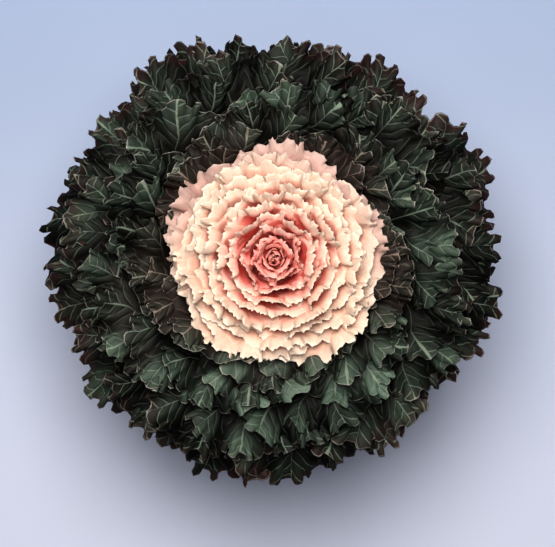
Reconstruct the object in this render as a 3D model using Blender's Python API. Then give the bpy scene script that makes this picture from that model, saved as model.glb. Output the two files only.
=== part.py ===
import bpy
import math

# Ornamental kale standing in a clay pot. Metres, +Z up, origin at the middle of the pot's base.
# Each leaf lies on its own bowl-shaped shell, and the shells are nested, so leaves overlap in plan and never touch.

# Pot
POT_HEIGHT = 0.140
POT_BASE_R = 0.056
POT_NECK_R = 0.0740
POT_RIM_R = 0.0800
POT_RIM_TALL = 0.027
POT_WALL = 0.006
POT_FLOOR = 0.008
POT_ROUND = 0.0015
POT_SIDES = 40
DRAIN_HOLES = 4
DRAIN_R = 0.0055
DRAIN_RING_R = 0.030
DRAIN_SIDES = 16

# Soil
SOIL_BELOW_RIM = 0.012
SOIL_MOUND = 0.004
SOIL_SIDES = 36
SOCKET_R = 0.0165
SOCKET_DEEP = 0.010
GAP = 0.0004
SOIL_TOP = POT_HEIGHT - SOIL_BELOW_RIM

# Stem and heart
STEM_LOW_R = 0.0150
STEM_TOP_R = 0.0088
STEM_TALL = 0.119
STEM_SIDES = 20
HEART_R = 0.0074
HEART_TALL = 0.044
HEART_SIDES = 30
HEART_RINGS = 7
HEART_FOLDS = 5
HEART_FOLD_DEEP = 0.16

# Leaves
HEAD_LEAVES = 24
GREEN_LEAVES = 32
LEAF_COUNT = HEAD_LEAVES + GREEN_LEAVES
TURN = math.radians(137.5)
FIRST_AZIMUTH = math.radians(23.0)
SEAT_GAP = 0.0005
ROWS = (0.0, 0.24, 0.42, 0.58, 0.74, 0.89, 1.0)
COLUMNS = (-1.0, -0.5, 0.0, 0.5, 1.0)
WIDTH_ALONG = (0.0, 0.0, 0.52, 0.86, 1.0, 0.88, 0.50)
BLADE_THICK = 0.0014
STALK_THICK = 0.0032
TIP_ROUND = 0.07
FINE_STEPS = 60

# The shells at a few leaf numbers: leaf, start height above the soil, start direction in degrees and pull,
# tip radius and height above the soil, direction at the tip in degrees and pull. Lengths in millimetres.
STATIONS = (
    (1, 117, 80, 18, 10.5, 162, 97, 15),
    (12, 100, 38, 28, 43, 152, 72, 22),
    (24, 82, 27, 40, 77, 133, 28, 28),
    (32, 67, 28, 46, 108, 121, 14, 34),
    (40, 52, 28, 50, 140, 103, -2, 40),
    (48, 36, 28, 56, 162, 76, -26, 44),
    (56, 20, 28, 60, 171, 44, -50, 45),
)
# Half width of the blade, half width of the stalk and the ruffle at the same leaf numbers, in millimetres.
WIDTHS = (
    (1, 11, 3.4, 0.3),
    (12, 25, 4.2, 0.9),
    (24, 33, 5.0, 1.4),
    (40, 41, 5.2, 2.6),
    (56, 46, 5.2, 3.0),
)

ROSE = (0.62, 0.20, 0.17)
SALMON = (0.76, 0.42, 0.34)
CREAM = (0.84, 0.62, 0.48)
MAUVE_GREEN = (0.13, 0.13, 0.095)
BLUE_GREEN = (0.055, 0.085, 0.058)
CLAY = (0.47, 0.19, 0.10)
SOIL = (0.040, 0.026, 0.018)
STALK = (0.33, 0.36, 0.22)


def clear_scene():
    for old in list(bpy.data.objects):
        bpy.data.objects.remove(old, do_unlink=True)


def principled(name, colour, roughness):
    material = bpy.data.materials.new(name)
    material.use_nodes = True
    shader = material.node_tree.nodes["Principled BSDF"]
    shader.inputs["Base Color"].default_value = (*colour, 1.0)
    shader.inputs["Roughness"].default_value = roughness
    shader.inputs["Metallic"].default_value = 0.0
    return material


def add_object(name, points, faces, material, smooth=True):
    mesh = bpy.data.meshes.new(name)
    mesh.from_pydata(points, [], faces)
    mesh.polygons.foreach_set("use_smooth", [smooth] * len(mesh.polygons))
    mesh.materials.append(material)
    mesh.update()
    thing = bpy.data.objects.new(name, mesh)
    bpy.context.scene.collection.objects.link(thing)
    return thing


def lerp(a, b, t):
    return a + (b - a) * t


def read_table(table, leaf):
    """The row of a table at a leaf number, straight between the rows that are given."""
    for low, high in zip(table, table[1:]):
        if leaf <= high[0]:
            t = (leaf - low[0]) / (high[0] - low[0])
            return [lerp(a, b, t) for a, b in zip(low[1:], high[1:])]
    return list(table[-1][1:])


def turned_ring(profile, sides, wobble=None):
    """Points of a closed profile of (radius, height) turned about Z, ring by ring."""
    points = []
    for k, (r, z) in enumerate(profile):
        for i in range(sides):
            a = math.tau * i / sides
            dr, dz = wobble(k, a) if wobble else (0.0, 0.0)
            points.append(((r + dr) * math.cos(a), (r + dr) * math.sin(a), z + dz))
    return points


def ring_faces(first, second, sides):
    return [(first + i, first + (i + 1) % sides, second + (i + 1) % sides, second + i) for i in range(sides)]


def pot_profile():
    """Outline of the pot's wall, from under the base up the outside and down the inside to the floor."""
    rim_low = POT_HEIGHT - POT_RIM_TALL
    slope = (POT_NECK_R - POT_BASE_R) / rim_low
    c = POT_ROUND
    inner_top = POT_RIM_R - POT_WALL - 0.0015
    inner_low = POT_BASE_R + slope * POT_FLOOR - POT_WALL
    return [
        (POT_BASE_R - c, 0.0),
        (POT_BASE_R, c),
        (POT_NECK_R, rim_low),
        (POT_RIM_R - 0.0025, rim_low + 0.0005),
        (POT_RIM_R - 0.0010, rim_low + 2 * c),
        (POT_RIM_R, POT_HEIGHT - 2 * c),
        (POT_RIM_R - c, POT_HEIGHT - 0.0003),
        (inner_top + c, POT_HEIGHT),
        (inner_top, POT_HEIGHT - c),
        (inner_low + 2 * c, POT_FLOOR + 4 * c),
        (inner_low - 2 * c, POT_FLOOR),
    ]


def turned_faces(rings, sides):
    """Faces between a run of rings, with a flat face that closes the first ring and one that closes the last."""
    faces = []
    for k in range(rings - 1):
        faces += ring_faces(k * sides, (k + 1) * sides, sides)
    last = (rings - 1) * sides
    faces.append(tuple(last + i for i in range(sides)))
    faces.append(tuple(reversed(range(sides))))
    return faces


def add_drain_cutter(pot, number):
    """A short post that cuts one drain hole through the pot's floor."""
    a = math.tau * (number + 0.5) / DRAIN_HOLES
    bpy.ops.mesh.primitive_cylinder_add(
        vertices=DRAIN_SIDES,
        radius=DRAIN_R,
        depth=3 * POT_FLOOR,
        location=(DRAIN_RING_R * math.cos(a), DRAIN_RING_R * math.sin(a), 0.5 * POT_FLOOR),
    )
    cutter = bpy.context.active_object
    cutter.name = f"drain_cutter_{number}"
    cutter.hide_render = True
    cutter.display_type = "WIRE"
    cut = pot.modifiers.new(f"drain_{number}", "BOOLEAN")
    cut.operation = "DIFFERENCE"
    cut.object = cutter


def add_pot(material):
    profile = pot_profile()
    points = turned_ring(profile, POT_SIDES)
    pot = add_object("pot", points, turned_faces(len(profile), POT_SIDES), material)
    for number in range(DRAIN_HOLES):
        add_drain_cutter(pot, number)


def inner_wall_r(z):
    """Inside radius of the pot at a height above its floor's corner."""
    profile = pot_profile()
    (top_r, top_z), (low_r, low_z) = profile[-3], profile[-2]
    return lerp(low_r, top_r, (z - low_z) / (top_z - low_z))


def add_soil(material):
    low = POT_FLOOR + GAP
    corner = POT_FLOOR + 0.010
    edge_r = inner_wall_r(SOIL_TOP - SOIL_MOUND) - 2 * GAP
    profile = [
        (0.030, low),
        (pot_profile()[-1][0] - 0.002, low),
        (inner_wall_r(corner) - 2 * GAP, corner),
        (edge_r, SOIL_TOP - SOIL_MOUND),
        (lerp(edge_r, SOCKET_R, 0.35), SOIL_TOP - 0.4 * SOIL_MOUND),
        (lerp(edge_r, SOCKET_R, 0.70), SOIL_TOP - 0.1 * SOIL_MOUND),
        (SOCKET_R, SOIL_TOP),
        (SOCKET_R, SOIL_TOP - SOCKET_DEEP),
    ]

    def lumps(k, a):
        if k not in (4, 5):
            return 0.0, 0.0
        return 0.0, 0.0012 * math.sin(5 * a + k) * math.cos(3 * a + 2 * k)

    points = turned_ring(profile, SOIL_SIDES, lumps)
    add_object("potting_soil", points, turned_faces(len(profile), SOIL_SIDES), material)


def stem_r(height):
    """Radius of the stem at a height above the soil."""
    t = min(1.0, max(0.0, height / STEM_TALL))
    return lerp(STEM_LOW_R, STEM_TOP_R, t ** 1.3)


def add_stem(material):
    heights = [-SOCKET_DEEP + GAP, 0.0, 0.25 * STEM_TALL, 0.5 * STEM_TALL, 0.75 * STEM_TALL, STEM_TALL]
    profile = [(stem_r(h), SOIL_TOP + h) for h in heights]
    points = turned_ring(profile, STEM_SIDES)
    add_object("stem", points, turned_faces(len(profile), STEM_SIDES), material)


def add_heart(material):
    """The tightly rolled middle of the head, with a few spiral folds."""
    base = SOIL_TOP + STEM_TALL + GAP
    points = []
    for k in range(HEART_RINGS):
        t = k / (HEART_RINGS - 1)
        r = HEART_R * (0.55 + 0.45 * math.sin(math.pi * (0.15 + 0.75 * t)))
        for i in range(HEART_SIDES):
            a = math.tau * i / HEART_SIDES
            fold = 1.0 - HEART_FOLD_DEEP * t * (0.5 + 0.5 * math.sin(HEART_FOLDS * a + 2.2 * t))
            points.append((r * fold * math.cos(a), r * fold * math.sin(a), base + HEART_TALL * t))
    faces = []
    for k in range(HEART_RINGS - 1):
        faces += ring_faces(k * HEART_SIDES, (k + 1) * HEART_SIDES, HEART_SIDES)
    top = (HEART_RINGS - 1) * HEART_SIDES
    crown = len(points)
    points.append((0.0, 0.0, base + HEART_TALL - 0.003))
    faces += [(top + i, top + (i + 1) % HEART_SIDES, crown) for i in range(HEART_SIDES)]
    faces.append(tuple(reversed(range(HEART_SIDES))))
    add_object("heart_bud", points, faces, material)


def shell_curve(leaf):
    """The leaf's own profile as points (radius, height, direction), and its running length."""
    start_z, start_dir, start_pull, tip_r, tip_z, tip_dir, tip_pull = read_table(STATIONS, leaf)
    a0, a1 = math.radians(start_dir), math.radians(tip_dir)
    z0 = start_z / 1000
    r0 = stem_r(z0) + SEAT_GAP
    ends = (
        (r0, z0),
        (r0 + start_pull / 1000 * math.cos(a0), z0 + start_pull / 1000 * math.sin(a0)),
        (tip_r / 1000 - tip_pull / 1000 * math.cos(a1), tip_z / 1000 - tip_pull / 1000 * math.sin(a1)),
        (tip_r / 1000, tip_z / 1000),
    )
    curve, length = [], 0.0
    for k in range(FINE_STEPS + 1):
        t = k / FINE_STEPS
        w = ((1 - t) ** 3, 3 * t * (1 - t) ** 2, 3 * t * t * (1 - t), t ** 3)
        r = sum(a * p[0] for a, p in zip(w, ends))
        z = sum(a * p[1] for a, p in zip(w, ends))
        if curve:
            length += math.hypot(r - curve[-1][0], z - curve[-1][1])
        curve.append((r, z, length))
    return curve


def on_curve(curve, y):
    """Radius, height and direction of the profile at a running length y, carried on straight past its end."""
    for a, b in zip(curve, curve[1:]):
        if y <= b[2] or b is curve[-1]:
            t = (y - a[2]) / (b[2] - a[2])
            return lerp(a[0], b[0], t), lerp(a[1], b[1], t), math.atan2(b[1] - a[1], b[0] - a[0])


def leaf_points(leaf):
    """Upper and lower points of one leaf, row by row from the stem to the tip."""
    curve = shell_curve(leaf)
    half, stalk, ruffle = (v / 1000 for v in read_table(WIDTHS, leaf))
    azimuth = FIRST_AZIMUTH + leaf * TURN
    upper, lower = [], []
    for k, (u, wide) in enumerate(zip(ROWS, WIDTH_ALONG)):
        for s in COLUMNS:
            y = curve[-1][2] * u * (1 - TIP_ROUND * s * s * wide * u)
            r, z, direction = on_curve(curve, y)
            x = s * max(stalk, half * wide)
            a = azimuth + x / max(r, stalk)
            thick = lerp(STALK_THICK, BLADE_THICK, min(1.0, wide * 2 + abs(s) * 0.3))
            wave = ruffle * wide * s * s * (-1) ** k
            for side, points in ((0.5, upper), (-0.5, lower)):
                n = wave + side * thick
                pr = r - n * math.sin(direction)
                pz = z + n * math.cos(direction)
                if k == 0:
                    pr = max(pr, stem_r(pz) + SEAT_GAP)
                points.append((pr * math.cos(a), pr * math.sin(a), SOIL_TOP + pz))
    return upper, lower


def add_leaf(name, leaf, material):
    """One leaf as a closed plate: upper skin, lower skin and the edge between them."""
    upper, lower = leaf_points(leaf)
    across, along = len(COLUMNS), len(ROWS)
    low = len(upper)
    faces = []
    for k in range(along - 1):
        for j in range(across - 1):
            a = k * across + j
            quad = (a, a + across, a + across + 1, a + 1)
            faces.append(quad)
            faces.append(tuple(low + v for v in reversed(quad)))
    edge = [j for j in range(across)]
    edge += [k * across + across - 1 for k in range(1, along)]
    edge += [(along - 1) * across + j for j in range(across - 2, -1, -1)]
    edge += [k * across for k in range(along - 2, 0, -1)]
    for a, b in zip(edge, edge[1:] + edge[:1]):
        faces.append((a, b, low + b, low + a))
    add_object(name, upper + lower, faces, material)


def add_leaves(materials):
    for leaf in range(1, HEAD_LEAVES + 1):
        tone = "leaf_rose" if leaf <= 6 else "leaf_salmon" if leaf <= 13 else "leaf_cream"
        add_leaf(f"head_leaf_{leaf:02d}", leaf, materials[tone])
    for leaf in range(HEAD_LEAVES + 1, LEAF_COUNT + 1):
        tone = "leaf_mauve_green" if leaf <= HEAD_LEAVES + 7 else "leaf_blue_green"
        add_leaf(f"green_leaf_{leaf - HEAD_LEAVES:02d}", leaf, materials[tone])


def build():
    clear_scene()
    materials = {
        "clay": principled("clay", CLAY, 0.85),
        "soil": principled("soil", SOIL, 0.95),
        "stalk": principled("stalk", STALK, 0.55),
        "leaf_rose": principled("leaf_rose", ROSE, 0.5),
        "leaf_salmon": principled("leaf_salmon", SALMON, 0.5),
        "leaf_cream": principled("leaf_cream", CREAM, 0.5),
        "leaf_mauve_green": principled("leaf_mauve_green", MAUVE_GREEN, 0.5),
        "leaf_blue_green": principled("leaf_blue_green", BLUE_GREEN, 0.5),
    }
    add_pot(materials["clay"])
    add_soil(materials["soil"])
    add_stem(materials["stalk"])
    add_heart(materials["leaf_rose"])
    add_leaves(materials)


build()
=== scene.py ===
# %% [markdown]
# # Ornamental kale in a clay pot
# A grown ornamental kale seen from above: a rosette of deeply frilled leaves, rose and cream in the middle and
# dark blue-green outside. The CAD part gives every leaf its place on the stem. This lesson makes each leaf again
# with its real frills, veins and colours, around that fixed frame.

# %% Load the fixed frame
import math
import random

import bmesh
import bpy
import numpy as np
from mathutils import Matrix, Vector


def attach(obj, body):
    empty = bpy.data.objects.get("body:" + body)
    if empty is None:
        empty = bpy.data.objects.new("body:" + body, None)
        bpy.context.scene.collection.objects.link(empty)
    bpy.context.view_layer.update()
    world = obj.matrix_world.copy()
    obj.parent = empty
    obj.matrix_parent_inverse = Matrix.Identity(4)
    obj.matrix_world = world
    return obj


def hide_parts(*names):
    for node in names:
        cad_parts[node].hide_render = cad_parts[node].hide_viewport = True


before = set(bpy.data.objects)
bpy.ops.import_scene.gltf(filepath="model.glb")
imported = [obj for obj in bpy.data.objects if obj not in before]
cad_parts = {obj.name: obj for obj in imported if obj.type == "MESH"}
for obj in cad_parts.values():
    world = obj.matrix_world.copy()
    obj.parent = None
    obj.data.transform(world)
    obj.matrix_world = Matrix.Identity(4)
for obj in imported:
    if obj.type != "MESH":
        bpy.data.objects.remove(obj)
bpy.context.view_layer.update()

# %% [markdown]
# ## Sizes
# All sizes are in metres and repeat the ones that the part was designed with. The heights of the leaves count from
# the soil, because a plant is easiest to think of as growing up from there.

# %% Sizes of the pot, the soil and the stem
POT_HEIGHT = 0.140
POT_BASE_R = 0.056
POT_NECK_R = 0.074
POT_RIM_R = 0.080
POT_RIM_TALL = 0.027
POT_WALL = 0.006
POT_FLOOR = 0.008
DRAIN_HOLES = 4
DRAIN_R = 0.0055
DRAIN_RING_R = 0.030
SOIL_TOP = 0.128
STEM_LOW_R = 0.0150
STEM_TOP_R = 0.0088
STEM_TALL = 0.119

# %% [markdown]
# ## The spiral and the nested bowls
# Kale leaves leave the stem one after another, each 137.5 degrees round from the last. Every leaf lies on a bowl of
# its own, and the bowls are nested: steep and narrow in the middle, wide and drooping outside. One row of the table
# describes the bowl of one leaf, and the leaves between two rows lie evenly between them.

# %% The bowls
HEAD_LEAVES = 24
GREEN_LEAVES = 32
LEAF_COUNT = HEAD_LEAVES + GREEN_LEAVES
TURN = math.radians(137.5)
FIRST_AZIMUTH = math.radians(23.0)
SEAT_GAP = 0.0005

# leaf, start height, start direction and pull, tip radius and height, tip direction and pull; mm and degrees
BOWLS = (
    (1, 117, 80, 18, 10.5, 162, 97, 15),
    (12, 100, 38, 28, 43, 152, 72, 22),
    (24, 82, 27, 40, 77, 133, 28, 28),
    (32, 67, 28, 46, 108, 121, 14, 34),
    (40, 52, 28, 50, 140, 103, -2, 40),
    (48, 36, 28, 56, 162, 76, -26, 44),
    (56, 20, 28, 60, 171, 44, -50, 45),
)


def lerp(a, b, t):
    return a + (b - a) * t


def read_table(table, leaf):
    """The row of a table at a leaf number, straight between the rows that are given."""
    if leaf <= table[0][0]:
        return list(table[0][1:])
    for low, high in zip(table, table[1:]):
        if leaf <= high[0]:
            t = (leaf - low[0]) / (high[0] - low[0])
            return [lerp(a, b, t) for a, b in zip(low[1:], high[1:])]
    return list(table[-1][1:])


def stem_r(height):
    t = min(1.0, max(0.0, height / STEM_TALL))
    return lerp(STEM_LOW_R, STEM_TOP_R, t ** 1.3)


def bowl_points(leaf):
    """The four control points of a leaf's bowl, as (radius, 0, height above the floor)."""
    start_z, start_dir, start_pull, tip_r, tip_z, tip_dir, tip_pull = read_table(BOWLS, leaf)
    a0, a1 = math.radians(start_dir), math.radians(tip_dir)
    z0, z1 = SOIL_TOP + start_z / 1000, SOIL_TOP + tip_z / 1000
    r0, r1 = stem_r(start_z / 1000) + SEAT_GAP, tip_r / 1000
    pull0, pull1 = start_pull / 1000, tip_pull / 1000
    return (
        Vector((r0, 0, z0)),
        Vector((r0 + pull0 * math.cos(a0), 0, z0 + pull0 * math.sin(a0))),
        Vector((r1 - pull1 * math.cos(a1), 0, z1 - pull1 * math.sin(a1))),
        Vector((r1, 0, z1)),
    )


def bowl_length(points, steps=60):
    """Running length of a bowl's profile from the stem to its lip."""
    length, last = 0.0, points[0]
    for k in range(1, steps + 1):
        t = k / steps
        w = ((1 - t) ** 3, 3 * t * (1 - t) ** 2, 3 * t * t * (1 - t), t ** 3)
        here = sum((p * a for p, a in zip(points, w)), Vector())
        length += (here - last).length
        last = here
    return length


print("bowl lengths in mm", [round(1000 * bowl_length(bowl_points(i))) for i in (1, 12, 24, 40, 56)])

# %% [markdown]
# ## Writing formulas as nodes
# A frilled leaf is a formula, and a formula of a hundred nodes is hard to read as a drawing. This small helper lets
# the script write `a * b + c` and get the Math nodes for it, in a Geometry Nodes tree and in a material alike.


# %% A number that a node tree works out
class Field:
    """A socket that can be used in sums like a plain number."""

    def __init__(self, tree, socket):
        self.tree = tree
        self.socket = socket

    def __add__(self, other):
        return calc("ADD", self, other)

    def __sub__(self, other):
        return calc("SUBTRACT", self, other)

    def __rsub__(self, other):
        return calc("SUBTRACT", other, self)

    def __mul__(self, other):
        return calc("MULTIPLY", self, other)

    def __truediv__(self, other):
        return calc("DIVIDE", self, other)

    def __rtruediv__(self, other):
        return calc("DIVIDE", other, self)

    def __pow__(self, other):
        return calc("POWER", self, other)

    def __neg__(self):
        return calc("MULTIPLY", self, -1.0)

    __radd__ = __add__
    __rmul__ = __mul__


def put(tree, socket, value):
    """Wire a field into a socket, or set a plain value on it."""
    if isinstance(value, Field):
        tree.links.new(value.socket, socket)
    else:
        socket.default_value = value


def set_inputs(tree, node, **values):
    """Set or wire a node's inputs by name, with _ for each space."""
    for label, value in values.items():
        put(tree, node.inputs[label.replace("_", " ")], value)


def place_node(tree, kind, **values):
    """A new node with its inputs set or wired by name."""
    node = tree.nodes.new(kind)
    set_inputs(tree, node, **values)
    return node


def pipe(tree, kind, geometry, **values):
    """Send geometry through a new node and return what comes out."""
    node = place_node(tree, kind, **values)
    tree.links.new(geometry, node.inputs[0])
    return node.outputs[0]


def calc(operation, *values):
    tree = next(v.tree for v in values if isinstance(v, Field))
    node = tree.nodes.new("ShaderNodeMath")
    node.operation = operation
    for socket, value in zip(node.inputs, values):
        put(tree, socket, value)
    return Field(tree, node.outputs[0])


def sine(x):
    return calc("SINE", x)


def cosine(x):
    return calc("COSINE", x)


def least(a, b):
    return calc("MINIMUM", a, b)


def most(a, b):
    return calc("MAXIMUM", a, b)


def smooth(x, start, end):
    """0 up to start, 1 from end, and a soft slope between."""
    node = x.tree.nodes.new("ShaderNodeMapRange")
    node.interpolation_type = "SMOOTHSTEP"
    set_inputs(x.tree, node, Value=x, From_Min=start, From_Max=end)
    return Field(x.tree, node.outputs["Result"])


def join_xyz(tree, x, y, z):
    node = tree.nodes.new("ShaderNodeCombineXYZ")
    for socket, value in zip(node.inputs, (x, y, z)):
        put(tree, socket, value)
    return Field(tree, node.outputs[0])


def split_xyz(vector):
    node = vector.tree.nodes.new("ShaderNodeSeparateXYZ")
    put(vector.tree, node.inputs[0], vector)
    return [Field(vector.tree, out) for out in node.outputs]


def noise(tree, vector, scale, detail=2.0, rough=0.5):
    """Smooth noise, about -1 to 1."""
    node = place_node(tree, "ShaderNodeTexNoise", Vector=vector, Scale=scale, Detail=detail, Roughness=rough)
    return Field(tree, node.outputs[0]) * 4.0 - 2.0


# %% [markdown]
# ## One tree for every leaf
# Each leaf is a fan on a stalk. A flat grid becomes the fan: its width turns into the angle round the hub, and its
# length into the way from the hub out to the edge. A kale leaf grows faster at its edge than in its middle, so the
# edge has too much length and must fold. The formula adds broad folds that make the lobes and crimps near the edge,
# and in each of them the edge also swings sideways, as real frills do. Notches, scallops and ragged teeth shape the
# outline. The lip then rolls over like a collar, and last the whole fan is laid on its bowl. One tree with named
# inputs makes all the leaves, young and old.

# %% Named inputs of the leaf tree
FLOAT, WHOLE, VECTOR, MATERIAL = "NodeSocketFloat", "NodeSocketInt", "NodeSocketVector", "NodeSocketMaterial"
LEAF_INPUTS = (
    ("Columns", WHOLE, 151),
    ("Rows", WHOLE, 16),
    ("Bowl start", VECTOR, (0.0, 0.0, 0.0)),
    ("Bowl start pull", VECTOR, (0.0, 0.0, 0.0)),
    ("Bowl lip pull", VECTOR, (0.0, 0.0, 0.0)),
    ("Bowl lip", VECTOR, (0.0, 0.0, 0.0)),
    ("Azimuth", FLOAT, 0.0),
    ("Hub", FLOAT, 0.08),
    ("Forward", FLOAT, 0.06),
    ("Sideways", FLOAT, 0.045),
    ("Backward", FLOAT, 0.02),
    ("Squareness", FLOAT, 2.0),
    ("Fan angle", FLOAT, 2.6),
    ("Roll from", FLOAT, 0.7),
    ("Roll", FLOAT, 0.5),
    ("Cup", FLOAT, 0.0),
    ("Tilt", FLOAT, 0.0),
    ("Lean", FLOAT, 0.0),
    ("Folds", FLOAT, 4.0),
    ("Fold high", FLOAT, 0.008),
    ("Fold swing", FLOAT, 0.004),
    ("Fold grows", FLOAT, 3.0),
    ("Notch", FLOAT, 0.05),
    ("Ragged", FLOAT, 0.03),
    ("Scallop", FLOAT, 0.03),
    ("Crimps", FLOAT, 12.0),
    ("Crimp high", FLOAT, 0.002),
    ("Crimp swing", FLOAT, 0.001),
    ("Crimp from", FLOAT, 0.45),
    ("Tooth deep", FLOAT, 0.0008),
    ("Tooth columns", FLOAT, 4.0),
    ("Thick", FLOAT, 0.0009),
    ("Stalk wide", FLOAT, 0.005),
    ("Stalk thick", FLOAT, 0.0025),
    ("Seed", FLOAT, 0.0),
    ("Tone", FLOAT, 0.0),
    ("Finish", MATERIAL, None),
)
STALK_SIDES = 10
STALK_ROWS = 20
STALK_REACH = 0.62
MERGE = 0.00002
PROFILE_POINTS = 48
SMALLEST_TURN_R = 0.006
# the bake map: the middles of the two skins' cells, how wide and high a skin is in them, and the stalk's strip
MAP_TOP, MAP_UNDER, MAP_WIDE, MAP_HIGH = 0.25, 0.735, 0.238, 0.485
MAP_STALK, MAP_STALK_WIDE = 0.99, 0.007


def new_tree(name, inputs):
    """An empty Geometry Nodes tree with named inputs and one geometry output."""
    tree = bpy.data.node_groups.new(name, "GeometryNodeTree")
    tree.interface.new_socket("Geometry", in_out="OUTPUT", socket_type="NodeSocketGeometry")
    for label, kind, value in inputs:
        socket = tree.interface.new_socket(label, in_out="INPUT", socket_type=kind)
        if value is not None:
            socket.default_value = value
    entry = tree.nodes.new("NodeGroupInput")
    return tree, {out.name: Field(tree, out) for out in entry.outputs if out.name}


def store(tree, geometry, name, value, kind="FLOAT_VECTOR", domain="POINT"):
    """Write a named attribute on a geometry."""
    node = tree.nodes.new("GeometryNodeStoreNamedAttribute")
    node.data_type = kind
    node.domain = domain
    tree.links.new(geometry, node.inputs["Geometry"])
    node.inputs["Name"].default_value = name
    put(tree, node.inputs["Value"], value)
    return node.outputs[0]


def read_attribute(tree, name):
    node = tree.nodes.new("GeometryNodeInputNamedAttribute")
    node.data_type = "FLOAT_VECTOR"
    node.inputs["Name"].default_value = name
    return Field(tree, node.outputs[0])


# %% The fan's two skins and its stalk, still flat
def flat_grid(tree, columns, rows):
    """A grid whose x runs -1 to 1 and whose y runs 0 to 1, with both as fields."""
    grid = place_node(tree, "GeometryNodeMeshGrid", Size_X=2.0, Size_Y=1.0, Vertices_X=columns, Vertices_Y=rows)
    here = Field(tree, tree.nodes.new("GeometryNodeInputPosition").outputs[0])
    x, y, _ = split_xyz(here)
    return grid.outputs["Mesh"], x, y + 0.5


def skin(tree, values, side):
    """One skin of the fan. side is 1 on top and -1 below; the two meet at the edge, where the leaf is thin."""
    mesh, across, along = flat_grid(tree, values["Columns"], values["Rows"])
    out = 1.0 - (1.0 - along) ** 1.6
    lip = calc("SQRT", most(1.0 - out ** 10.0, 0.0))
    flank = calc("SQRT", most(1.0 - calc("ABSOLUTE", across) ** 40.0, 0.0))
    edge = lip * flank
    half = edge * values["Thick"] * 0.5 * side
    angle = across * values["Fan angle"]
    mesh = store(tree, mesh, "place", join_xyz(tree, across, out, side))
    mesh = store(tree, mesh, "offset", join_xyz(tree, 0.0, 0.0, half))
    map_x = out * sine(angle) * MAP_WIDE + (MAP_TOP if side > 0 else MAP_UNDER)
    map_y = out * cosine(angle) * MAP_HIGH + 0.5
    mesh = store(tree, mesh, "OFBake", join_xyz(tree, map_x, map_y, 0.0), "FLOAT2", "CORNER")
    return pipe(tree, "GeometryNodeFlipFaces", mesh) if side > 0 else mesh


def stalk(tree, values):
    """The stalk and the rib that carries it on under the fan: a flat tube that thins to nothing."""
    mesh, across, along = flat_grid(tree, STALK_SIDES + 1, STALK_ROWS)
    turn = across * math.pi
    reach = values["Hub"] + values["Forward"] * STALK_REACH
    run = along * reach
    beyond = most(run - values["Hub"], 0.0)
    out = beyond / values["Forward"]
    ends = calc("SQRT", most(smooth(along, 0.0, 0.02) * (1.0 - along), 0.0))
    widen = 1.0 + 0.5 * (1.0 - smooth(along, 0.0, 0.15))
    taper = ends * (1.0 - 0.8 * smooth(run, values["Hub"] * 0.7, reach))
    wide = values["Stalk wide"] * taper * widen
    thick = values["Stalk thick"] * taper
    mesh = store(tree, mesh, "place", join_xyz(tree, 0.0, out, 0.0))
    sunk = thick * 0.45 * smooth(run, values["Hub"] * 0.6, values["Hub"])
    offset = join_xyz(tree, wide * cosine(turn), least(run - values["Hub"], 0.0), thick * sine(turn) - sunk)
    mesh = store(tree, mesh, "offset", offset)
    strip = join_xyz(tree, across * MAP_STALK_WIDE + MAP_STALK, along * 0.98 + 0.01, 0.0)
    return store(tree, mesh, "OFBake", strip, "FLOAT2", "CORNER")


# %% The formula of the frills
BEND_SHARE = 0.45


def fold_ridge(fold):
    """Height of a fold by its phase, a little broader on top than in the valley."""
    return cosine(fold) - 0.15 * cosine(fold * 2.0) - 0.1


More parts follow.
